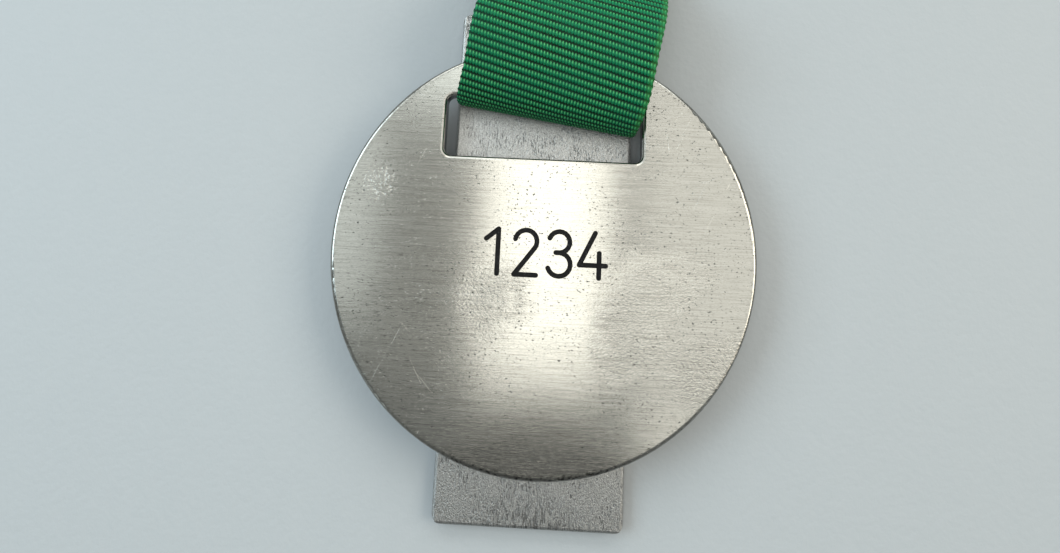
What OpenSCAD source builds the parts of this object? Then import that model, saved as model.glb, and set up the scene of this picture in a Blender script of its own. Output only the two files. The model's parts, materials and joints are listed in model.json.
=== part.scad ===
// Sports finisher medal: a round cast disc and a rectangular front plate, pinned together with
// a narrow gap between them, and a woven neck ribbon looped round the bar above the disc's slot.
// The medal lies on its front plate: +Z points out of the disc's back face, +Y towards the ribbon.

/* [Disc] */
// Diameter of the disc
disc_d = 57; // [50:0.5:70]
// Thickness of the disc
disc_t = 2.6; // [2:0.1:4]
// Rounding of the disc's outer edges
disc_edge_r = 0.6; // [0.2:0.1:0.9]

/* [Ribbon slot] */
// Clear width of the slot
slot_w = 27.2; // [27:0.1:30]
// Clear height of the slot
slot_h = 8.4; // [7:0.1:9]
// Height of the slot's lower edge above the disc's centre
slot_y = 12.5; // [12:0.1:13.5]
// Radius of the slot's corners
slot_corner_r = 1; // [0.5:0.1:2]
// Rounding of the slot's upper rim
slot_rim_r = 0.45; // [0.2:0.05:0.6]

/* [Front plate] */
// Width of the plate
plate_w = 25; // [22:0.1:26]
// Length of the plate
plate_l = 69.3; // [66:0.1:71]
// Thickness of the plate
plate_t = 1.7; // [1.5:0.1:2.5]
// Radius of the plate's corners
plate_corner_r = 1.5; // [1:0.1:3]
// Rounding of the plate's upper edges
plate_edge_r = 0.5; // [0.2:0.1:0.8]
// Gap between the plate and the disc, where the ribbon passes
gap = 1.2; // [1.2:0.1:2]
// Sideways offset of the slot and the plate from the disc's centre
plate_x = -0.55; // [-0.6:0.05:0]

/* [Numerals] */
// Height of the engraved numerals
numeral_h = 6.5; // [4:0.1:8]
// Width of the engraved stroke
stroke_w = 0.66; // [0.4:0.02:0.8]
// Distance from one numeral to the next
numeral_pitch = 4.46; // [4:0.02:5.5]
// Depth of the engraving
engrave_depth = 0.35; // [0.2:0.05:0.6]

/* [Ribbon] */
// Width of the ribbon
ribbon_w = 25; // [24:0.1:25.4]
// Thickness of the ribbon
ribbon_t = 0.75; // [0.6:0.05:0.8]
// Angle of the ribbon's legs to the medal's upright
ribbon_skew = 8.5; // [8:0.1:9]
// Length of the folded hank of unused ribbon
hank_l = 60; // [50:1:80]
// Height of the folded hank
hank_t = 9.6; // [8:0.1:12]

/* [Hidden] */
$fn = 96;
eps = 0.01;

disc_z = plate_t + gap;
top_z = disc_z + disc_t;

// The plate reaches a little further below the disc than above it.
plate_y = -0.75;
panel_border = 2;
panel_depth = 0.35;
centre_band = 6;
relief_w = 1.4;

rim_steps = 3;
rim_overrun = 0.2;
groove_r = 26.5;
groove_w = 0.9;
groove_depth = 0.3;

infill_t = 0.25;

pin_r = 1;
pin_fit = 0.02;
pin_in_plate = 0.9;
pin_in_disc = 1.4;
pin_bottom_gap = 0.1;
washer_r = 2.3;
washer_hole_r = 1.05;
pin_x = 8;
pin_ys = [6, -22];

// The ribbon's own frame: its origin is the middle of the fold in the slot, +Y runs along the
// legs. Path points are [y, z] along the middle of the ribbon's thickness.
fold_x = -0.3;
fold_y = 18.3;
loop_path = [
    [19.6, 2.15], [16, 2.3], [12, 2.3], [8, 2.25], [4, 2.25], [1.9, 2.25], [1, 2.34], [0.4, 2.68],
    [0.05, 3.3], [-0.1, 4.6], [0, 6.2], [0.5, 8.2], [1.9, 10.2], [4.4, 12], [8.2, 12.9],
    [12.2, 12.1], [15.6, 9.8], [18.6, 7.1], [20.8, 5.4],
];
tails_start = 27.5;
tails_z = 0.4;
tails_t = 2.4;
hank_start = 34;
stitch_rows = 2;
stitches = 9;
stitch_l = 1.5;
stitch_w = 0.4;
stitch_t = 0.3;
stitch_edge = 3.5;
seam_y = 52;
seam_l = 12;

// One point of a Catmull-Rom curve between p1 and p2, at t from 0 to 1.
function curve(p0, p1, p2, p3, t) =
    0.5 * (2 * p1 + (p2 - p0) * t + (2 * p0 - 5 * p1 + 4 * p2 - p3) * t * t
           + (3 * p1 - p0 - 3 * p2 + p3) * t * t * t);

function at(path, i) = path[max(0, min(len(path) - 1, i))];

// The path with extra points on a smooth curve between the given ones.
function smooth(path, steps = 3) = [
    for (i = [0 : len(path) - 2], k = [0 : steps - 1])
        curve(at(path, i - 1), path[i], path[i + 1], at(path, i + 2), k / steps),
    path[len(path) - 1]
];

function unit(v) = v / norm(v);

// The path shifted sideways by d, which is one face of a band that follows it.
function side(path, d) = [
    for (i = [0 : len(path) - 1])
        let (along = unit(at(path, i + 1) - at(path, i - 1)))
            path[i] + d * [-along.y, along.x]
];

function reversed(list) = [for (i = [len(list) - 1 : -1 : 0]) list[i]];

module rounded_rect(size, r) {
    square([size.x - 2 * r, size.y], center = true);
    square([size.x, size.y - 2 * r], center = true);
    for (x = [-1, 1], y = [-1, 1])
        translate([x * (size.x / 2 - r), y * (size.y / 2 - r)]) circle(r);
}

// Side profile of a slab from 0 to t, with only its two upper corners rounded.
module slab_profile(w, t, r) {
    translate([-w / 2, 0]) square([w, t - r]);
    translate([-w / 2 + r, 0]) square([w - 2 * r, t]);
    for (x = [-1, 1]) translate([x * (w / 2 - r), t - r]) circle(r);
}

module disc_blank() {
    edge = disc_d / 2 - disc_edge_r;
    rotate_extrude($fn = 180) {
        square([edge, disc_t]);
        translate([0, disc_edge_r]) square([disc_d / 2, disc_t - 2 * disc_edge_r]);
        for (z = [disc_edge_r, disc_t - disc_edge_r]) translate([edge, z]) circle(disc_edge_r);
    }
}

// Corner i of the rim's rounding as [outward growth, height], in equal turns of the arc.
function rim_point(i) =
    let (a = i * 90 / rim_steps)
        [slot_rim_r * (1 - cos(a)), disc_t - slot_rim_r * (1 - sin(a))];

// The slot's opening, which flares in short steps to a rounded upper rim. Each step's cutter
// runs on past both ends of its own facet.
module slot_cutter() {
    translate([plate_x, slot_y + slot_h / 2, 0]) {
        translate([0, 0, -1])
            linear_extrude(disc_t + 2) rounded_rect([slot_w, slot_h], slot_corner_r);
        for (i = [0 : rim_steps - 1]) {
            low = rim_point(i);
            high = rim_point(i + 1);
            past = rim_overrun * unit(high - low);
            hull() for (p = [low - past, high + past])
                translate([0, 0, p.y]) linear_extrude(eps)
                    rounded_rect([slot_w + 2 * p.x, slot_h + 2 * p.x], slot_corner_r + p.x,
                                 $fn = 32);
        }
    }
}

module at_pins() {
    for (x = [-1, 1] * pin_x, y = pin_ys) translate([plate_x + x, y, 0]) children();
}

// A straight stroke with round ends.
module line(a, b) {
    along = b - a;
    for (p = [a, b]) translate(p) circle(d = stroke_w, $fn = 32);
    translate(a) rotate(atan2(along.y, along.x))
        translate([0, -stroke_w / 2]) square([norm(along), stroke_w]);
}

// Points on an arc about c, from angle a0 to a1.
function arc(c, r, a0, a1, steps = 14) =
    [for (i = [0 : steps]) let (a = a0 + (a1 - a0) * i / steps) c + r * [cos(a), sin(a)]];

// A curved stroke with a round start and a flat end, which another stroke covers.
module curved_line(path) {
    along = path[1] - path[0];
    heading = atan2(along.y, along.x);
    polygon(concat(side(path, stroke_w / 2), reversed(side(path, -stroke_w / 2)),
                   arc(path[0], stroke_w / 2, heading - 110, heading - 250, 7)));
}

module numeral(n) {
    h = (numeral_h - stroke_w) / 2;
    w = 0.5 * h;
    if (n == 1) {
        line([0.25 * h, -h], [0.25 * h, h]);
        line([0.25 * h, h], [-0.3 * h, 0.55 * h]);
    }
    if (n == 2) {
        foot = [-w, -h];
        bow = arc([0, h - w], w, 170, -35);
        leg = unit(foot - bow[len(bow) - 1]);
        curved_line(concat(bow, [foot - stroke_w / 5 * leg]));
        line(foot, [w, -h]);
    }
    if (n == 3) {
        waist = 0.05 * h;
        upper = (h - waist) / 2;
        lower = (h + waist) / 2;
        curved_line(arc([0, h - upper], upper, 160, -85));
        curved_line(arc([0, -h + lower], lower, -160, 85));
        line([-0.15 * h, waist], [0.12 * h, waist]);
    }
    if (n == 4) {
        line([0.1 * h, h], [-0.6 * h, -0.45 * h]);
        line([-0.6 * h, -0.45 * h], [0.6 * h, -0.45 * h]);
        line([0.3 * h, 0.1 * h], [0.3 * h, -h]);
    }
}

module numerals() {
    for (n = [1 : 4]) translate([(n - 2.5) * numeral_pitch, -0.1]) numeral(n);
}

module in_ribbon_frame() {
    translate([fold_x, fold_y, 0]) rotate([0, 0, -ribbon_skew]) children();
}

// Turns a [y, z] profile so that it runs across the ribbon's width.
module across(w) {
    translate([-w / 2, 0, 0]) rotate([90, 0, 90]) linear_extrude(w) children();
}

module hank_profile() {
    r = hank_t / 2;
    translate([hank_start + r, 0]) square([hank_l - hank_t, hank_t]);
    for (y = [hank_start + r, hank_start + hank_l - r]) translate([y, r]) circle(r);
}

module medal_disc() {
    color("silver") translate([0, 0, disc_z]) difference() {
        disc_blank();
        slot_cutter();
        translate([0, 0, disc_t - engrave_depth]) linear_extrude(1) numerals();
        at_pins() translate([0, 0, -1])
            cylinder(r = pin_r + pin_fit, h = 1 + pin_in_disc + pin_bottom_gap);
        difference() {
            translate([0, 0, -1]) cylinder(r = groove_r + groove_w, h = 1 + groove_depth);
            translate([0, 0, -2]) cylinder(r = groove_r, h = 3);
        }
    }
}

module plate_blank() {
    intersection() {
        linear_extrude(plate_t) rounded_rect([plate_w, plate_l], plate_corner_r);
        rotate([90, 0, 0]) linear_extrude(plate_l + 1, center = true)
            slab_profile(plate_w, plate_t, plate_edge_r);
        rotate([90, 0, 90]) linear_extrude(plate_w + 1, center = true)
            slab_profile(plate_l, plate_t, plate_edge_r);
    }
}

// A chevron that stays raised in a sunk panel.
module chevron() {
    for (s = [-1, 1]) mirror([s < 0 ? 1 : 0, 0])
        rotate(25) translate([-relief_w * 0.25, -relief_w]) square([plate_w * 0.27, relief_w]);
}

// Two sunk panels on the plate's lower face, with a plain band between them.
module panels() {
    panel_l = (plate_l - centre_band) / 2 - panel_border;
    for (s = [-1, 1])
        translate([0, s * (centre_band + panel_l) / 2]) difference() {
            rounded_rect([plate_w - 2 * panel_border, panel_l], 1);
            for (k = [-1 : 1]) translate([0, 7 * k]) mirror([0, 1]) chevron();
        }
}

module front_plate() {
    color("silver") difference() {
        translate([plate_x, plate_y, 0]) plate_blank();
        at_pins() translate([0, 0, plate_t - pin_in_plate - pin_bottom_gap])
            cylinder(r = pin_r + pin_fit, h = plate_t);
        translate([plate_x, plate_y, -1]) linear_extrude(1 + panel_depth) panels();
    }
}

module numeral_infill() {
    color("black") translate([0, 0, top_z - engrave_depth]) linear_extrude(infill_t) numerals();
}

module fixing_pins() {
    color("gray") at_pins() translate([0, 0, plate_t - pin_in_plate])
        cylinder(r = pin_r, h = pin_in_plate + gap + pin_in_disc);
}

module spacer_washers() {
    color("gray") at_pins() translate([0, 0, plate_t]) difference() {
        cylinder(r = washer_r, h = gap);
        translate([0, 0, -1]) cylinder(r = washer_hole_r, h = gap + 2);
    }
}

module ribbon_loop() {
    path = smooth(loop_path);
    color("green") in_ribbon_frame() across(ribbon_w)
        polygon(concat(side(path, ribbon_t / 2), reversed(side(path, -ribbon_t / 2))));
}

module ribbon_tails() {
    color("green") in_ribbon_frame() across(ribbon_w) difference() {
        translate([tails_start, tails_z]) square([hank_start - tails_start + hank_t / 2, tails_t]);
        hank_profile();
    }
}

module ribbon_hank() {
    color("green") in_ribbon_frame() across(ribbon_w) hank_profile();
}

module seam_stitching() {
    pitch = (ribbon_w - 2 * stitch_edge) / (stitches - 1);
    color("darkgreen") in_ribbon_frame()
        for (row = [0 : stitch_rows - 1], k = [0 : stitches - 1])
            translate([k * pitch - ribbon_w / 2 + stitch_edge - stitch_l / 2,
                       seam_y + row * seam_l, hank_t])
                cube([stitch_l, stitch_w, stitch_t]);
}

medal_disc();
front_plate();
numeral_infill();
fixing_pins();
spacer_washers();
ribbon_loop();
ribbon_tails();
ribbon_hank();
seam_stitching();
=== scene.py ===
"""Sports finisher medal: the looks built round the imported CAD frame. Metres, +Z up."""

import json
import math
from types import SimpleNamespace

import bpy
import numpy as np
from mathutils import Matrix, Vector


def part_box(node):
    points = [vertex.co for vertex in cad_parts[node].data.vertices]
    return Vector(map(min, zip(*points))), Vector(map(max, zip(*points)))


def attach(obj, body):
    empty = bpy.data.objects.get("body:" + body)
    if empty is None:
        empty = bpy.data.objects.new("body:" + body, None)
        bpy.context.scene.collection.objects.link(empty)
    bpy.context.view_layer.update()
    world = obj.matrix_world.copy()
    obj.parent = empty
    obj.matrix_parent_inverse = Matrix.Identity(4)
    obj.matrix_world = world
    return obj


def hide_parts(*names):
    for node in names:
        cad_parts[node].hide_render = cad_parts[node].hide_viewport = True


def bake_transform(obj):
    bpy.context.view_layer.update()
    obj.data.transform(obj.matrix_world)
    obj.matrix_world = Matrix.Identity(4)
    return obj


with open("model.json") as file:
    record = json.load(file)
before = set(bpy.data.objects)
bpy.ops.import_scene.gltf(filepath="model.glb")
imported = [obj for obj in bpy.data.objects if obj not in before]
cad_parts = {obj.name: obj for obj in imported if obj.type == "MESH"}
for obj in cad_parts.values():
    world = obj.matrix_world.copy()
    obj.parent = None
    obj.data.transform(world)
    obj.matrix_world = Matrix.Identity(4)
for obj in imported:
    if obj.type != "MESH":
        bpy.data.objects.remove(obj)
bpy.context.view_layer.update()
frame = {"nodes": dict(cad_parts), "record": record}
MM = 0.001

# ---------------------------------------------------------------- camera

SENSOR_MM = 36
LENS_MM = 23.77
SHIFT_Y = -0.157
CAMERA_MM = (0.13, 1.78, 100.64)
CAMERA_TURN_DEG = (10.42, 1.12, 2.65)


def make_camera():
    """Almost straight above the medal, a little below its middle."""
    data = bpy.data.cameras.new("camera")
    data.sensor_width = SENSOR_MM
    data.lens = LENS_MM
    data.shift_y = SHIFT_Y
    data.clip_start, data.clip_end = 0.005, 20
    cam = bpy.data.objects.new("camera", data)
    cam.location = [c * MM for c in CAMERA_MM]
    cam.rotation_euler = [math.radians(a) for a in CAMERA_TURN_DEG]
    bpy.context.scene.collection.objects.link(cam)
    bpy.context.scene.camera = cam


# ---------------------------------------------------------------- node helpers


class Nodes:
    """A short way to write a material's node tree."""

    def __init__(self, name):
        self.material = bpy.data.materials.new(name)
        self.material.use_nodes = True
        self.tree = self.material.node_tree
        self.shader = self.tree.nodes["Principled BSDF"]

    def put(self, socket, value):
        """Links a socket to value if that is an output, and sets it otherwise."""
        if isinstance(value, bpy.types.NodeSocket):
            self.tree.links.new(value, socket)
        else:
            socket.default_value = value

    def math(self, operation, a, b=0.0, clamp=False):
        node = self.tree.nodes.new("ShaderNodeMath")
        node.operation = operation
        node.use_clamp = clamp
        self.put(node.inputs[0], a)
        self.put(node.inputs[1], b)
        return node.outputs[0]

    def times(self, *factors):
        """The product of two or more values."""
        product = factors[0]
        for factor in factors[1:]:
            product = self.math("MULTIPLY", product, factor)
        return product

    def source(self, kind="Object"):
        """One of the texture coordinates."""
        return self.tree.nodes.new("ShaderNodeTexCoord").outputs[kind]

    def noise(self, size, detail=3.0, rough=0.5, turn=0.0, seed=0.0):
        """Noise whose grain is size = (x, y, z) in millimetres, from about 0 to 1."""
        node = self.tree.nodes.new("ShaderNodeTexNoise")
        node.noise_dimensions = "4D"
        scale = [1 / (s * MM) for s in size]
        self.put(node.inputs["Vector"], self.turned(scale, turn))
        node.inputs["W"].default_value = seed
        node.inputs["Scale"].default_value = 1.0
        node.inputs["Detail"].default_value = detail
        node.inputs["Roughness"].default_value = rough
        return node.outputs["Fac"]

    def turned(self, scale, turn):
        """Object coordinates turned about Z, then stretched."""
        spun = self.tree.nodes.new("ShaderNodeMapping")
        self.put(spun.inputs["Vector"], self.source())
        spun.inputs["Rotation"].default_value = (0, 0, math.radians(turn))
        stretched = self.tree.nodes.new("ShaderNodeMapping")
        self.put(stretched.inputs["Vector"], spun.outputs[0])
        stretched.inputs["Scale"].default_value = scale
        return stretched.outputs[0]

    def ramp(self, value, low, high):
        """A smooth step from 0 where value is low to 1 where it is high."""
        node = self.tree.nodes.new("ShaderNodeMapRange")
        node.interpolation_type = "SMOOTHSTEP"
        self.put(node.inputs["Value"], value)
        node.inputs["From Min"].default_value = low
        node.inputs["From Max"].default_value = high
        return node.outputs[0]

    def mix(self, factor, a, b):
        node = self.tree.nodes.new("ShaderNodeMix")
        node.data_type = "RGBA"
        self.put(node.inputs["Factor"], factor)
        self.put(node.inputs["A"], colour(a))
        self.put(node.inputs["B"], colour(b))
        return node.outputs["Result"]

    def cover(self, tone, mask, amount, other):
        """The colour other laid over tone where mask is 1, as strongly as amount says."""
        return self.mix(self.times(mask, amount), tone, other)

    def spot(self, x, y, inner, outer):
        """1 within inner of a point given in millimetres, 0 beyond outer."""
        node = self.tree.nodes.new("ShaderNodeVectorMath")
        node.operation = "DISTANCE"
        self.put(node.inputs[0], self.flat_place())
        node.inputs[1].default_value = (x * MM, y * MM, 0)
        return self.ramp(node.outputs["Value"], outer * MM, inner * MM)

    def flat_place(self):
        """The object coordinates without their height."""
        node = self.tree.nodes.new("ShaderNodeVectorMath")
        node.operation = "MULTIPLY"
        self.put(node.inputs[0], self.source())
        node.inputs[1].default_value = (1, 1, 0)
        return node.outputs[0]

    def from_axis(self):
        """Distance from the Z axis."""
        node = self.tree.nodes.new("ShaderNodeVectorMath")
        node.operation = "LENGTH"
        self.put(node.inputs[0], self.flat_place())
        return node.outputs["Value"]

    def height(self):
        """Height over the table."""
        split = self.tree.nodes.new("ShaderNodeSeparateXYZ")
        self.put(split.inputs[0], self.source())
        return split.outputs["Z"]

    def bump(self, height, depth_mm, normal=None):
        """A bump whose height of 1 stands depth_mm proud."""
        node = self.tree.nodes.new("ShaderNodeBump")
        node.inputs["Strength"].default_value = 1.0
        node.inputs["Distance"].default_value = depth_mm * MM
        self.put(node.inputs["Height"], height)
        if normal is not None:
            self.put(node.inputs["Normal"], normal)
        return node.outputs[0]

    def finish(self, **values):
        """Sets the shader's inputs, with _ for a space in their names."""
        for key, value in values.items():
            self.put(self.shader.inputs[key.replace("_", " ")], value)
        return self.material


def colour(value):
    """An RGB triple as the four numbers that a colour socket wants."""
    return (*value, 1.0) if isinstance(value, tuple) and len(value) == 3 else value


# ---------------------------------------------------------------- metal


SCRATCH_TURNS = (62, -28, 47, 81, -64)


def ring(n, radius, inside, outside):
    """0 to 1 outward between two distances, in millimetres, inside a disc's edge."""
    return n.ramp(n.from_axis(), (radius - inside) * MM, (radius - outside) * MM)


def depth(n, top, shallow, deep):
    """0 to 1 downward between two depths, in millimetres, below a top face."""
    return n.ramp(n.height(), (top - shallow) * MM, (top - deep) * MM)


def scratch_mask(n, radius):
    """Fine straight scratches in several directions, most of them at the upper right."""
    lines = 0.0
    for k, turn in enumerate(SCRATCH_TURNS):
        line = n.ramp(n.noise((9, 0.13, 9), detail=1, turn=turn, seed=20 + k), 0.745, 0.79)
        lines = n.math("ADD", line, lines, clamp=True)
    patchy = n.ramp(n.noise((8, 8, 8), seed=8), 0.5, 0.65)
    worn_right = n.spot(radius * 0.72, radius * 0.5, 1, radius * 0.6)
    return n.times(lines, n.math("ADD", worn_right, n.times(patchy, 0.3)))


def peel_mask(n, radius):
    """Where the face has an orange peel: the lower right, and a patch under the numerals."""
    cloud = n.noise((9, 7, 9), detail=3, seed=4)
    ragged = n.noise((2.4, 1.3, 2.4), detail=3, rough=0.6, seed=11)
    right = n.spot(radius * 0.64, -radius * 0.33, 3, radius * 0.62)
    lower = n.times(n.spot(-radius * 0.2, -radius * 0.22, 0, radius * 0.42), 0.6)
    peeled = n.math("ADD", right, lower, clamp=True)
    peeled = n.times(peeled, n.math("ADD", ragged, 0.5))
    return n.times(n.ramp(peeled, 0.2, 0.8), n.ramp(cloud, 0.30, 0.6))


def face_masks(n, radius):
    """The marks on the disc's face, and the painted shade at its foot, each a value from 0 to 1.
    """
    m = SimpleNamespace()
    m.fine = n.noise((6, 0.072, 6), detail=4, rough=0.65, seed=1)
    m.broad = n.noise((14, 0.28, 14), detail=4, rough=0.6, seed=2)
    m.sand = n.noise((0.3, 0.16, 0.3), detail=3, rough=0.6, seed=10)
    m.peeled = peel_mask(n, radius)
    pits = n.ramp(n.noise((0.42, 0.26, 0.42), detail=2, seed=5), 0.635, 0.69)
    m.pits = n.times(pits, n.ramp(n.noise((6, 6, 6), seed=6), 0.38, 0.54))
    flecks = n.ramp(n.noise((1.0, 0.13, 1.0), detail=2, rough=0.6, seed=14), 0.61, 0.67)
    m.flecks = n.times(flecks, n.spot(-radius * 0.7, -radius * 0.4, 3, radius * 0.65))
    dents = n.ramp(n.noise((0.5, 0.42, 0.5), detail=3, rough=0.6, seed=7), 0.52, 0.72)
    m.dents = n.times(dents, n.spot(-radius * 0.80, radius * 0.29, 0.4, 3.2))
    m.scratches = scratch_mask(n, radius)
    # Painted shade: how far the darker foot of the disc's face reaches.
    m.bottom = n.spot(0, -radius * 1.3, radius * 0.42, radius * 0.74)
    # Darker streaks along the brushing, only within the painted shade at the foot, also sunk
    # slightly into the face.
    stains = n.ramp(n.noise((1.6, 0.09, 1.6), detail=3, rough=0.65, seed=12), 0.50, 0.62)
    m.stains = n.times(stains, m.bottom)
    return m


def face_tone(n, m, radius, top):
    """The disc's colour: pale brushed metal, dark in its marks, with painted shade at its foot,
    on its rim and on its walls.
    """
    tone = n.mix(n.ramp(m.broad, 0.3, 0.7), (0.56, 0.55, 0.50), (0.615, 0.605, 0.555))
    tone = n.cover(tone, n.ramp(m.fine, 0.46, 0.68), 0.6, (0.32, 0.31, 0.27))
    tone = n.cover(tone, n.ramp(m.sand, 0.5, 0.72), 0.45, (0.33, 0.325, 0.29))
    tone = n.cover(tone, m.pits, 0.85, (0.05, 0.05, 0.045))
    tone = n.cover(tone, m.flecks, 0.7, (0.10, 0.098, 0.088))
    tone = n.cover(tone, m.dents, 0.45, (0.16, 0.155, 0.14))
    tone = n.cover(tone, m.scratches, 0.35, (0.82, 0.81, 0.78))
    # Painted shade: the face darker towards its foot.
    tone = n.cover(tone, m.bottom, 0.72, (0.20, 0.195, 0.175))
    # Painted shade: darker streaks within the foot.
    tone = n.cover(tone, m.stains, 0.4, (0.12, 0.117, 0.105))
    nicks = n.ramp(n.noise((0.5, 0.5, 0.5), detail=2, seed=9), 0.5, 0.6)
    grime = n.times(ring(n, radius, 1.3, 0.3), nicks)
    tone = n.cover(tone, grime, 0.35, (0.20, 0.195, 0.17))
    # Painted shade on the rounded rim, dimming its highlight.
    tone = n.cover(tone, ring(n, radius, 0.45, 0.1), 0.75, (0.16, 0.155, 0.135))
    # Near-black specks along the rim, only within the painted shade at the foot.
    rim_foot_specks = n.ramp(n.noise((0.38, 0.38, 0.38), detail=2, rough=0.6, seed=13), 0.52, 0.60)
    rim_foot_specks = n.times(rim_foot_specks, ring(n, radius, 1.1, 0.25), m.bottom)
    tone = n.cover(tone, rim_foot_specks, 0.9, (0.02, 0.02, 0.018))
    # Painted shade on the walls below the face: near black on the slot walls, dark grey on the
    # outer side.
    wall_shade = n.mix(ring(n, radius, 1.2, 0.8), (0.03, 0.031, 0.032), (0.20, 0.197, 0.185))
    tone = n.mix(depth(n, top, 0.35, 0.65), tone, wall_shade)
    in_numerals = n.times(n.spot(0, 0, 11, 12), depth(n, top, 0.02, 0.05))
    return n.mix(in_numerals, tone, (0.02, 0.02, 0.02))


def face_normal(n, m):
    """The disc's relief: brushing, orange peel, and marks sunk into the face."""
    peel = n.noise((0.42, 0.28, 0.42), detail=4, rough=0.65, seed=3)
    normal = n.bump(m.fine, 0.0028)
    normal = n.bump(m.broad, 0.0014, normal)
    normal = n.bump(n.times(n.math("SUBTRACT", peel, 0.5), m.peeled), 0.08, normal)
    for mask, sunk_mm in ((m.stains, 0.003), (m.pits, 0.05), (m.dents, 0.07),
                          (m.scratches, 0.012)):
        normal = n.bump(n.times(mask, -1.0), sunk_mm, normal)
    return normal


def brushed_metal(name, radius, top):
    """Worn antique silver, brushed straight across, pitted and scratched."""
    n = Nodes(name)
    m = face_masks(n, radius)
    rough = n.math("ADD", 0.14, n.times(m.broad, 0.05))
    rough = n.math("ADD", rough, n.times(m.peeled, 0.03))
    across = n.tree.nodes.new("ShaderNodeCombineXYZ")
    across.inputs["Y"].default_value = 1.0
    return n.finish(Base_Color=face_tone(n, m, radius, top), Metallic=1.0, Roughness=rough,
                    Anisotropic=0.6, Tangent=across.outputs[0], Normal=face_normal(n, m))


def blasted_metal(name, top):
    """Matte, speckled antique silver with short dark streaks."""
    n = Nodes(name)
    grain = n.noise((0.15, 0.19, 0.15), detail=3, rough=0.65, seed=31)
    streak = n.noise((0.16, 0.75, 0.4), detail=2, rough=0.6, seed=32)
    cloud = n.noise((3, 3, 3), detail=3, seed=33)
    dark = n.times(n.ramp(streak, 0.54, 0.64), n.ramp(cloud, 0.40, 0.62))
    foot = n.ramp(n.noise((0.17, 1.0, 0.5), detail=3, rough=0.6, seed=36), 0.48, 0.56)
    foot = n.times(foot, n.spot(-0.5, -40, 5, 11.5))
    dark = n.math("MAXIMUM", dark, foot)
    speck = n.ramp(n.noise((0.22, 0.22, 0.22), detail=2, seed=34), 0.62, 0.70)
    pale = n.ramp(n.noise((0.25, 0.5, 0.25), detail=2, seed=35), 0.58, 0.7)
    tone = n.mix(n.ramp(grain, 0.2, 0.75), (0.27, 0.27, 0.26), (0.55, 0.55, 0.53))
    tone = n.cover(tone, pale, 0.4, (0.70, 0.70, 0.68))
    tone = n.cover(tone, dark, 0.65, (0.10, 0.10, 0.095))
    tone = n.cover(tone, speck, 0.6, (0.08, 0.08, 0.08))
    # Painted shade on the plate's sides, near black below its top face.
    tone = n.mix(depth(n, top, 0.4, 0.7), tone, (0.06, 0.062, 0.065))
    normal = n.bump(grain, 0.07)
    normal = n.bump(n.times(dark, -1.0), 0.05, normal)
    return n.finish(Base_Color=tone, Metallic=1.0, Roughness=0.34, Normal=normal)


def plain_metal(name):
    """Turned fixings, hidden between the two castings."""
    n = Nodes(name)
    grain = n.noise((0.3, 0.3, 0.05), detail=2, seed=41)
    tone = n.mix(grain, (0.45, 0.45, 0.44), (0.62, 0.62, 0.61))
    return n.finish(Base_Color=tone, Metallic=1.0, Roughness=0.4, Normal=n.bump(grain, 0.01))


def black_enamel(name):
    """Filling paint, rubbed level by hand."""
    n = Nodes(name)
    grain = n.noise((0.22, 0.22, 0.22), detail=3, rough=0.6, seed=51)
    tone = n.mix(n.ramp(grain, 0.55, 0.75), (0.006, 0.006, 0.006), (0.05, 0.05, 0.048))
    return n.finish(Base_Color=tone, Roughness=0.5, Specular_IOR_Level=0.15,
                    Normal=n.bump(grain, 0.04))


# ---------------------------------------------------------------- ribbon

RIB_MM = 1.0           # from one rib to the next
THREAD_MM = 0.43       # from one thread bump to the next, along a rib
RIBBON_W = 25.0
RIBBON_T = 0.62        # over the ribs
RIB_MEAN = 0.65        # height of a rib on average, of its own height
RIB_DEPTH, THREAD_DEPTH = 0.20, 0.075
EDGE_RIPPLE = 0.09     # the selvedge's waviness
RIB_SLANT = math.tan(math.radians(8.3))
SLOT_Z = 4.6           # height at which the ribbon passes through the slot
HINGE_MM = 24.0        # from the fold in the slot to the record's ribbon_swing hinge
LOOP_PATH = [
    (19.6, 2.15), (16, 2.3), (12, 2.3), (8, 2.25), (4, 2.25), (1.9, 2.25), (1, 2.34), (0.4, 2.68),
    (0.05, 3.3), (-0.1, 4.6), (0.1, 6.3), (0.8, 8.0), (2.2, 9.5), (4.4, 10.7), (8.2, 11.9),
    (12.2, 12.1), (15.8, 11.0), (18.8, 8.8), (21.2, 6.6),
]
BACK_LEG = [(36, 0.36), (32, 0.42), (28, 0.75), (24, 1.5)]
FRONT_LEG = [(24, 4.2), (28, 1.9), (32, 1.25), (36, 1.1)]
LAYER_MM = 0.735       # from one layer of the hank to the next
FIRST_LAYER_MM = 0.36
RUNS = 6               # of the doubled ribbon, in the hank
NEAR_Y, FAR_Y = 36.0, 92.2
SEAM_Y, SEAM_L = 52.0, 12.0
SEAM_LIFT_MM = LAYER_MM * 0.92


def ribbon_lie():
    """The fold's middle in millimetres and the ribbon's skew, from the record's hinge."""
    joints = frame["record"]["behaviour"]["joints"]
    hinge = next(joint for joint in joints if joint["name"] == "ribbon_swing")
    skew = math.atan2(-hinge["axis"][1], hinge["axis"][0])
    x, y = hinge["pos_m"][0] / MM, hinge["pos_m"][1] / MM
    return (x - HINGE_MM * math.sin(skew), y - HINGE_MM * math.cos(skew)), skew


FOLD, RIBBON_SKEW = ribbon_lie()


def layer_z(k):
    """Height of the middle of the hank's layer k."""
    return FIRST_LAYER_MM + LAYER_MM * k


def turn_points(y, z0, z1, way):
    """Half a turn from height z0 to z1, bulging outward (way +1) or back (-1)."""
    mid, r = (z0 + z1) / 2, abs(z1 - z0) / 2
    start = -1 if z0 < z1 else 1
    angles = np.linspace(0, math.pi, 9)
    return [(y + way * r * math.sin(a), mid + start * r * math.cos(a)) for a in angles]


def run_points(y0, y1, z):
    """A straight run at height z, without its ends."""
    return [(y, z) for y in np.linspace(y0, y1, 12)[1:-1]]


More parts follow.
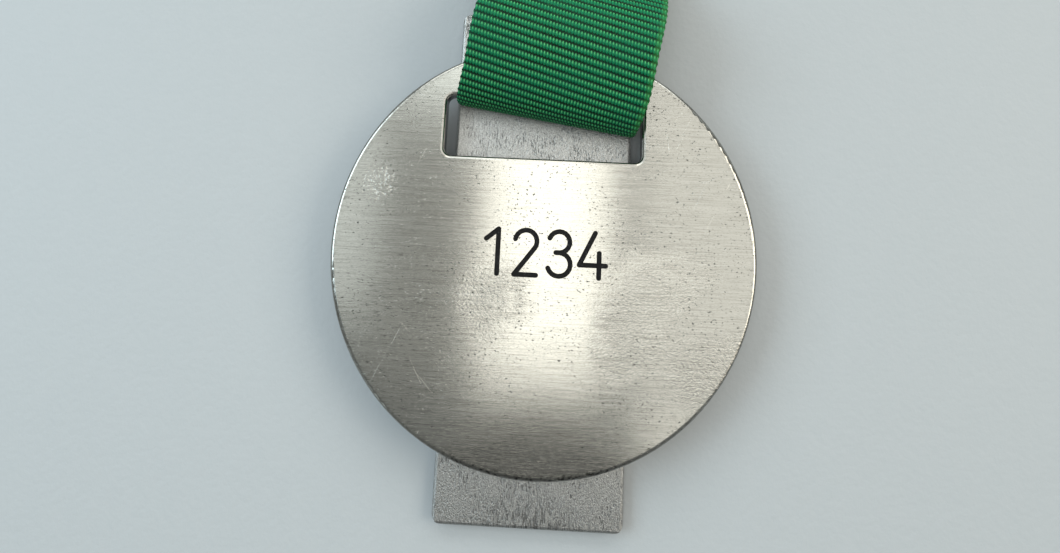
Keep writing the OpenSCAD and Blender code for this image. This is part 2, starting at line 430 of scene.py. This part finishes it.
def hank_path(inner_first):
    """One leg's way through the folded hank, from the bottom run to the top one."""
    points = []
    upper = inner_first
    for k in range(RUNS):
        outward = k % 2 == 0
        y0, y1 = (NEAR_Y, FAR_Y) if outward else (FAR_Y, NEAR_Y)
        z = layer_z(2 * k + (1 if upper else 0))
        points += run_points(y0, y1, z)
        if k < RUNS - 1:
            above = layer_z(2 * k + 2 + (0 if upper else 1))
            points += turn_points(y1, z, above, 1 if outward else -1)
        upper = not upper
    return points


def ribbon_path():
    """The middle line of the whole ribbon as [y, z], from one cut end to the other."""
    back = hank_path(False)
    front = hank_path(True)
    top = layer_z(2 * RUNS - 1)
    back = [p for p in back if p[1] < top - 0.01 or p[0] > SEAM_Y + 2]
    first = [(SEAM_Y, top)] + back[::-1]
    loop = BACK_LEG + LOOP_PATH + FRONT_LEG
    close = turn_points(NEAR_Y, layer_z(2 * RUNS - 2), top, -1)
    over = top + SEAM_LIFT_MM
    last = [(40, top), (44, top), (47.5, top + 0.05), (50.5, over - 0.05), (54, over),
            (58, over), (SEAM_Y + SEAM_L, over)]
    return np.array(first + loop + front + close + last, float)


def spline(points, steps=6):
    """A centripetal Catmull-Rom curve through the points."""
    p = np.vstack([2 * points[0] - points[1], points, 2 * points[-1] - points[-2]])
    out = []
    for i in range(1, len(p) - 2):
        a, b, c, d = p[i - 1], p[i], p[i + 1], p[i + 2]
        t0 = 0.0
        t1 = t0 + max(np.linalg.norm(b - a), 1e-6) ** 0.5
        t2 = t1 + max(np.linalg.norm(c - b), 1e-6) ** 0.5
        t3 = t2 + max(np.linalg.norm(d - c), 1e-6) ** 0.5
        for t in np.linspace(t1, t2, steps, endpoint=False):
            ab = (t1 - t) / (t1 - t0) * a + (t - t0) / (t1 - t0) * b
            bc = (t2 - t) / (t2 - t1) * b + (t - t1) / (t2 - t1) * c
            cd = (t3 - t) / (t3 - t2) * c + (t - t2) / (t3 - t2) * d
            abc = (t2 - t) / (t2 - t0) * ab + (t - t0) / (t2 - t0) * bc
            bcd = (t3 - t) / (t3 - t1) * bc + (t - t1) / (t3 - t1) * cd
            out.append((t2 - t) / (t2 - t1) * abc + (t - t1) / (t2 - t1) * bcd)
    out.append(points[-1])
    return np.array(out)


def smoothstep(x, low, high):
    """0 below low and 1 above high, with a soft start and end."""
    t = np.clip((x - low) / (high - low), 0, 1)
    return t * t * (3 - 2 * t)


class Ribbon:
    """The ribbon's middle line by arc length, and its woven surface round that line."""

    def __init__(self):
        line = spline(ribbon_path())
        step = np.linalg.norm(np.diff(line, axis=0), axis=1)
        self.s = np.concatenate([[0], np.cumsum(step)])
        self.line = line
        self.length = self.s[-1]
        in_slot = np.abs(line[:, 1] - SLOT_Z) + np.abs(line[:, 0])
        self.fold_s = self.s[np.argmin(in_slot)]

    def at(self, s):
        """Points and unit normals in the [y, z] plane."""
        p = np.stack([np.interp(s, self.s, self.line[:, k]) for k in (0, 1)], 1)
        h = 0.12
        a = np.stack([np.interp(s - h, self.s, self.line[:, k]) for k in (0, 1)], 1)
        b = np.stack([np.interp(s + h, self.s, self.line[:, k]) for k in (0, 1)], 1)
        along = b - a
        along /= np.linalg.norm(along, axis=1)[:, None]
        return p, np.stack([-along[:, 1], along[:, 0]], 1)

    def sway(self, s):
        """Sideways drift: the hump leans right, and the hank's layers lie unevenly."""
        from_fold = s - self.fold_s
        hump = 0.6 * smoothstep(from_fold, 1, 9) + 0.3 * smoothstep(from_fold, 13, 20)
        hump = hump * (1 - smoothstep(from_fold, 24, 42))
        loose = smoothstep(np.abs(from_fold), 45, 90)
        return hump + loose * (0.34 * np.sin(s / 17.3 + 1) + 0.2 * np.sin(s / 6.1))

    def relief(self, s, x, fine):
        """Height of the weave in millimetres: ribs across, each a row of leaning threads."""
        u = (s + x * RIB_SLANT) / RIB_MM
        rib = np.abs(np.sin(math.pi * u)) ** 0.75
        edge = smoothstep(RIBBON_W / 2 - np.abs(x), 0.05, 0.7)
        height = RIB_DEPTH * (rib - RIB_MEAN) * (0.4 + 0.6 * edge)
        if fine:
            phase = 2 * math.pi * x / THREAD_MM + math.pi * np.floor(u) + 1.3 * (u % 1)
            thread = (np.cos(phase) - 0.2) * (0.35 + 0.65 * rib)
            height = height + THREAD_DEPTH * thread * edge
        return height

    def surface(self, s, x, side, fine):
        """Points of one face over the grid s by x, in the ribbon's own frame."""
        p, n = self.at(s)
        S, X = np.meshgrid(s, x, indexing="ij")
        u = (S + X * RIB_SLANT) / RIB_MM
        half = RIBBON_T / 2 - 0.09
        thin = np.sqrt(np.clip(1 - (np.abs(X) / (RIBBON_W / 2 + 0.02)) ** 60, 0, 1))
        offset = side * (half + self.relief(S, X, fine)) * thin
        ripple = EDGE_RIPPLE * np.cos(2 * math.pi * u) * smoothstep(np.abs(X), 12.2, 12.7)
        across = X + np.sign(X) * ripple + self.sway(S)
        y = p[:, :1] + offset * n[:, :1]
        z = p[:, 1:] + offset * n[:, 1:]
        return np.stack([across, y, z], 2), np.stack([u, X / THREAD_MM], 2)


def to_row(points):
    """From the ribbon's own frame in millimetres to the row frame in metres."""
    c, s = math.cos(RIBBON_SKEW), math.sin(RIBBON_SKEW)
    x, y, z = points[..., 0], points[..., 1], points[..., 2]
    out = np.stack([FOLD[0] + x * c + y * s, FOLD[1] - x * s + y * c, z], -1)
    return out * MM


def band(ribbon, s, x, fine):
    """Vertices, quads and UVs of a closed band over the grid s by x."""
    top, uv_top = ribbon.surface(s, x, 1, fine)
    low, uv_low = ribbon.surface(s, x, -1, fine)
    rows, cols = len(s), len(x)
    ring = np.concatenate([top, low[:, ::-1]], 1)
    uv = np.concatenate([uv_top, uv_low[:, ::-1]], 1)
    around = 2 * cols
    i, j = np.meshgrid(np.arange(rows - 1), np.arange(around), indexing="ij")
    k = (j + 1) % around
    quads = np.stack([i * around + j, i * around + k, (i + 1) * around + k,
                      (i + 1) * around + j], -1).reshape(-1, 4)
    caps = []
    for row, flip in ((0, True), (rows - 1, False)):
        base = row * around
        c = np.arange(cols - 1)
        cap = np.stack([base + c, base + c + 1, base + around - 2 - c, base + around - 1 - c], -1)
        caps.append(cap[:, ::-1] if flip else cap)
    return ring.reshape(-1, 3), np.vstack([quads, *caps]), uv.reshape(-1, 2)


def mesh_object(name, vertices, faces, uv=None, smooth=True):
    """A new mesh object in the scene."""
    mesh = bpy.data.meshes.new(name)
    mesh.from_pydata(vertices.tolist(), [], faces.tolist())
    if uv is not None:
        layer = mesh.uv_layers.new(name="weave")
        loops = np.zeros(len(mesh.loops), np.int32)
        mesh.loops.foreach_get("vertex_index", loops)
        layer.data.foreach_set("uv", uv[loops].astype(np.float32).ravel())
    mesh.polygons.foreach_set("use_smooth", [smooth] * len(mesh.polygons))
    mesh.validate()
    mesh.update()
    obj = bpy.data.objects.new(name, mesh)
    bpy.context.scene.collection.objects.link(obj)
    return obj


def ribbon_columns(step):
    """Places across the ribbon, closer together at its edges."""
    half = RIBBON_W / 2
    middle = np.linspace(-half + 0.5, half - 0.5, int(round((RIBBON_W - 1) / step)) + 1)
    edge = np.array([0.0, 0.05, 0.15, 0.3])
    return np.concatenate([-half + edge, middle, half - edge[::-1]])


FINE_BEFORE, FINE_AFTER = 26, 36    # the finely woven stretch either side of the fold


def make_ribbon():
    """The whole ribbon as one piece: finely woven round the bar, plainer in the hank."""
    ribbon = Ribbon()
    near0, near1 = ribbon.fold_s - FINE_BEFORE, ribbon.fold_s + FINE_AFTER
    fine_rows = np.arange(near0, near1, RIB_MM / 8)
    near1 = fine_rows[-1]
    before = np.linspace(0, near0, int(near0 / (RIB_MM / 4)))
    after = np.linspace(near1, ribbon.length, int((ribbon.length - near1) / (RIB_MM / 4)))
    fine_x, plain_x = ribbon_columns(THREAD_MM / 4), ribbon_columns(2.0)
    parts, faces, uvs, count = [], [], [], 0
    for s, x, fine in ((before, plain_x, False), (fine_rows, fine_x, True),
                       (after, plain_x, False)):
        v, f, uv = band(ribbon, s, x, fine)
        parts.append(v)
        faces.append(f + count)
        uvs.append(uv)
        count += len(v)
    obj = mesh_object("neck_ribbon", to_row(np.vstack(parts)), np.vstack(faces), np.vstack(uvs))
    return obj, ribbon


def woven_green(name):
    """Ribbed green polyester: painted shade between the ribs, yellower where a thread is lit."""
    n = Nodes(name)
    split = n.tree.nodes.new("ShaderNodeSeparateXYZ")
    n.put(split.inputs[0], n.source("UV"))
    u, v = split.outputs[0], split.outputs[1]
    rib = n.math("ABSOLUTE", n.math("SINE", n.times(u, math.pi)))
    whole = n.math("FLOOR", u)
    part = n.math("SUBTRACT", u, whole)
    phase = n.math("ADD", n.times(v, 2 * math.pi), n.times(whole, math.pi))
    phase = n.math("ADD", phase, n.times(part, 1.2))
    thread = n.times(n.math("ADD", n.math("COSINE", phase), 1.0), 0.5)
    crest = n.math("POWER", rib, 0.7)
    height = n.times(crest, n.math("ADD", 0.55, n.times(thread, 0.45)))
    fuzz = n.noise((0.12, 0.12, 0.12), detail=2, seed=61)
    patch = n.noise((5, 5, 5), detail=3, seed=62)
    glint = n.times(n.ramp(part, 0.4, 0.72), n.ramp(thread, 0.55, 1.0))
    glint = n.times(glint, n.ramp(part, 0.98, 0.8))
    deep, mid, lit = (0.0001, 0.010, 0.005), (0.0008, 0.205, 0.084), (0.14, 0.52, 0.17)
    # Painted shade between the ribs: darkest where the weave is lowest.
    tone = n.mix(n.ramp(height, 0.30, 0.80), deep, mid)
    tone = n.cover(tone, n.times(glint, crest), 0.8, lit)
    tone = n.cover(tone, n.ramp(fuzz, 0.45, 0.8), 0.22, lit)
    tone = n.cover(tone, n.ramp(patch, 0.35, 0.7), 0.25, (0.002, 0.11, 0.06))
    edge = n.ramp(v, (RIBBON_W / 2 - 1.0) / THREAD_MM, (RIBBON_W / 2 - 0.5) / THREAD_MM)
    tone = n.cover(tone, edge, 0.3, (0.05, 0.26, 0.05))
    normal = n.bump(height, 0.05)
    normal = n.bump(fuzz, 0.015, normal)
    return n.finish(Base_Color=tone, Roughness=0.6, Sheen_Weight=0.02, Sheen_Roughness=0.4,
                    Specular_IOR_Level=0.15, Normal=normal)


# ---------------------------------------------------------------- thread


def tube(points, radius, sides=8):
    """Vertices and quads of a closed round tube along the points."""
    points = np.array(points, float)
    along = np.gradient(points, axis=0)
    along /= np.linalg.norm(along, axis=1)[:, None]
    up = np.array([0, 1.0, 0])
    first = np.cross(along, up)
    first /= np.linalg.norm(first, axis=1)[:, None]
    second = np.cross(along, first)
    angle = np.linspace(0, 2 * math.pi, sides, endpoint=False)
    ring = (points[:, None] + radius * (np.cos(angle)[None, :, None] * first[:, None]
                                        + np.sin(angle)[None, :, None] * second[:, None]))
    rows = len(points)
    i, j = np.meshgrid(np.arange(rows - 1), np.arange(sides), indexing="ij")
    k = (j + 1) % sides
    quads = np.stack([i * sides + j, (i + 1) * sides + j, (i + 1) * sides + k, i * sides + k], -1)
    return ring.reshape(-1, 3), quads.reshape(-1, 4)


def make_stitching():
    """Two rows of thread across the overlap of the ribbon's ends."""
    parts, faces, count = [], [], 0
    top = layer_z(2 * RUNS - 1) + SEAM_LIFT_MM + RIBBON_T / 2
    length, pitch, radius = 1.9, 2.3, 0.13
    for y in (SEAM_Y + 2.0, SEAM_Y + 4.0, SEAM_Y + SEAM_L - 2.0):
        for k in range(9):
            middle = (k - 4) * pitch
            t = np.linspace(-1, 1, 11)
            points = np.stack([middle + t * length / 2, np.full(11, y),
                               top - 0.25 + 0.3 * np.sqrt(1 - t ** 4)], 1)
            v, f = tube(points, radius)
            parts.append(v)
            faces.append(f + count)
            count += len(v)
    return mesh_object("seam_threads", to_row(np.vstack(parts)), np.vstack(faces))


def thread_green(name):
    """Twisted sewing thread, a shade darker than the ribbon."""
    n = Nodes(name)
    twist = n.noise((0.12, 0.5, 0.12), detail=2, turn=35, seed=71)
    tone = n.mix(twist, (0.003, 0.08, 0.035), (0.012, 0.24, 0.1))
    return n.finish(Base_Color=tone, Roughness=0.5, Sheen_Weight=0.3, Normal=n.bump(twist, 0.05))


# ---------------------------------------------------------------- stage and light


def make_floor():
    """A plain pale table with a faint grain."""
    n = Nodes("table")
    grain = n.noise((2.5, 2.5, 2.5), detail=4, seed=81)
    fine = n.noise((0.3, 0.3, 0.3), detail=2, seed=82)
    tone = n.mix(grain, (0.60, 0.64, 0.65), (0.63, 0.665, 0.675))
    pebble = n.noise((0.9, 0.9, 0.9), detail=2, rough=0.45, seed=83)
    normal = n.bump(fine, 0.006, n.bump(pebble, 0.045))
    material = n.finish(Base_Color=tone, Roughness=0.55, Normal=normal)
    half = 3.0
    corners = np.array([(-half, -half, 0), (half, -half, 0), (half, half, 0), (-half, half, 0)])
    floor = mesh_object("table", corners, np.array([[0, 1, 2, 3]]), smooth=False)
    floor.data.materials.append(material)


OVERHEAD_Z = 0.5
WARM, COOL, NEUTRAL = (1.0, 0.985, 0.93), (0.93, 1.0, 1.0), (1.0, 1.0, 0.98)
MEDAL_LIGHTS = [
    # name, x from and to, y from and to, radiance, tint
    ("strip", -0.051, 0.055, -0.111, 0.46, 2.12, WARM),
    ("right", 0.076, 0.60, -0.20, 0.55, 0.93, WARM),
    ("left", -0.70, -0.140, -0.07, 0.55, 0.82, COOL),
    ("left_gap", -0.140, -0.051, -0.12, 0.12, 0.17, WARM),
    ("left_back", -0.130, -0.051, 0.12, 0.55, 1.6, COOL),
]
WINDOWS = [
    # name, place, size, radiance, tint
    ("left_window", (-0.6, 0.1, 0.45), (0.6, 0.4), 3.5, (0.72, 0.89, 1.0)),
    ("right_window", (0.6, 0.1, 0.45), (0.6, 0.4), 2.8, (1.0, 0.92, 0.80)),
    ("back_window", (0.0, 0.75, 0.40), (1.2, 0.4), 2.4, (0.96, 1.0, 1.0)),
]
WORLD_TINT, WORLD_STRENGTH = (0.94, 1.0, 1.0), 0.19


def area_light(name, place, aim, size, radiance, tint):
    """A soft box of the given size, as bright to look at as radiance says."""
    data = bpy.data.lights.new(name, "AREA")
    data.shape = "RECTANGLE"
    data.size, data.size_y = size
    data.energy = radiance * math.pi * size[0] * size[1]
    data.color = tint
    light = bpy.data.objects.new(name, data)
    light.location = place
    light.rotation_euler = (Vector(aim) - Vector(place)).to_track_quat("-Z", "Y").to_euler()
    bpy.context.scene.collection.objects.link(light)
    return light


def overhead(name, x0, x1, y0, y1, radiance, tint, lit):
    """A level soft box at OVERHEAD_Z that lights one collection alone."""
    x, y = (x0 + x1) / 2, (y0 + y1) / 2
    light = area_light(name, (x, y, OVERHEAD_Z), (x, y, 0), (x1 - x0, y1 - y0), radiance, tint)
    light.light_linking.receiver_collection = lit


def collection_of(name, objects):
    """A collection outside the scene, for lights to be linked to."""
    group = bpy.data.collections.new(name)
    for obj in objects:
        group.objects.link(obj)
    return group


def make_world():
    """A dim even light from all round."""
    world = bpy.data.worlds.new("studio")
    world.use_nodes = True
    background = world.node_tree.nodes["Background"]
    background.inputs["Color"].default_value = colour(WORLD_TINT)
    background.inputs["Strength"].default_value = WORLD_STRENGTH
    bpy.context.scene.world = world


def make_lights():
    """A bright strip over the medal, a warmer room to the right, a cooler one to the left."""
    make_world()
    medal = collection_of("medal_only", [obj for obj in bpy.data.objects
                                         if obj.type == "MESH" and obj.name != "table"])
    for name, x0, x1, y0, y1, radiance, tint in MEDAL_LIGHTS:
        overhead(name, x0, x1, y0, y1, radiance, tint, medal)
    for name, place, size, radiance, tint in WINDOWS:
        area_light(name, place, (0, 0, 0), size, radiance, tint)
    table = collection_of("table_only", [bpy.data.objects["table"]])
    overhead("table_fill", -0.55, 0.55, -0.45, 0.65, 0.10, NEUTRAL, table)
    pool = area_light("pool", (-0.01, 0, 0.16), (-0.01, 0, 0), (0.08, 0.08), 1.1, NEUTRAL)
    pool.light_linking.receiver_collection = table
    pool.visible_camera = False
    bpy.context.scene.view_settings.view_transform = "Standard"


# ---------------------------------------------------------------- assembly


def dress(node, material):
    """Gives a CAD node its material."""
    mesh = frame["nodes"][node].data
    mesh.materials.clear()
    mesh.materials.append(material)


def dress_medal():
    """Materials for the CAD nodes that stay as they are."""
    disc_low, disc_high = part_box("medal_disc")
    disc_radius = (disc_high.x - disc_low.x) / 2 / MM
    metal = plain_metal("fixing_metal")
    dress("medal_disc", brushed_metal("disc_metal", disc_radius, disc_high.z / MM))
    plate_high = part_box("front_plate")[1]
    dress("front_plate", blasted_metal("plate_metal", plate_high.z / MM))
    dress("numeral_infill", black_enamel("black_enamel"))
    dress("fixing_pins", metal)
    dress("spacer_washers", metal)


def add_ribbon():
    """The woven strip in place of the three CAD solids, with the threads of its seam."""
    obj, ribbon = make_ribbon()
    obj.data.materials.append(woven_green("green_ribbon"))
    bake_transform(obj)
    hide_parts("ribbon_loop", "ribbon_tails", "ribbon_hank")

    threads = make_stitching()
    threads.data.materials.append(thread_green("green_thread"))
    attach(threads, "tails")
    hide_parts("seam_stitching")


def main():
    """Camera, medal, ribbon, table and lights."""
    make_camera()
    dress_medal()
    add_ribbon()
    make_floor()
    make_lights()


main()
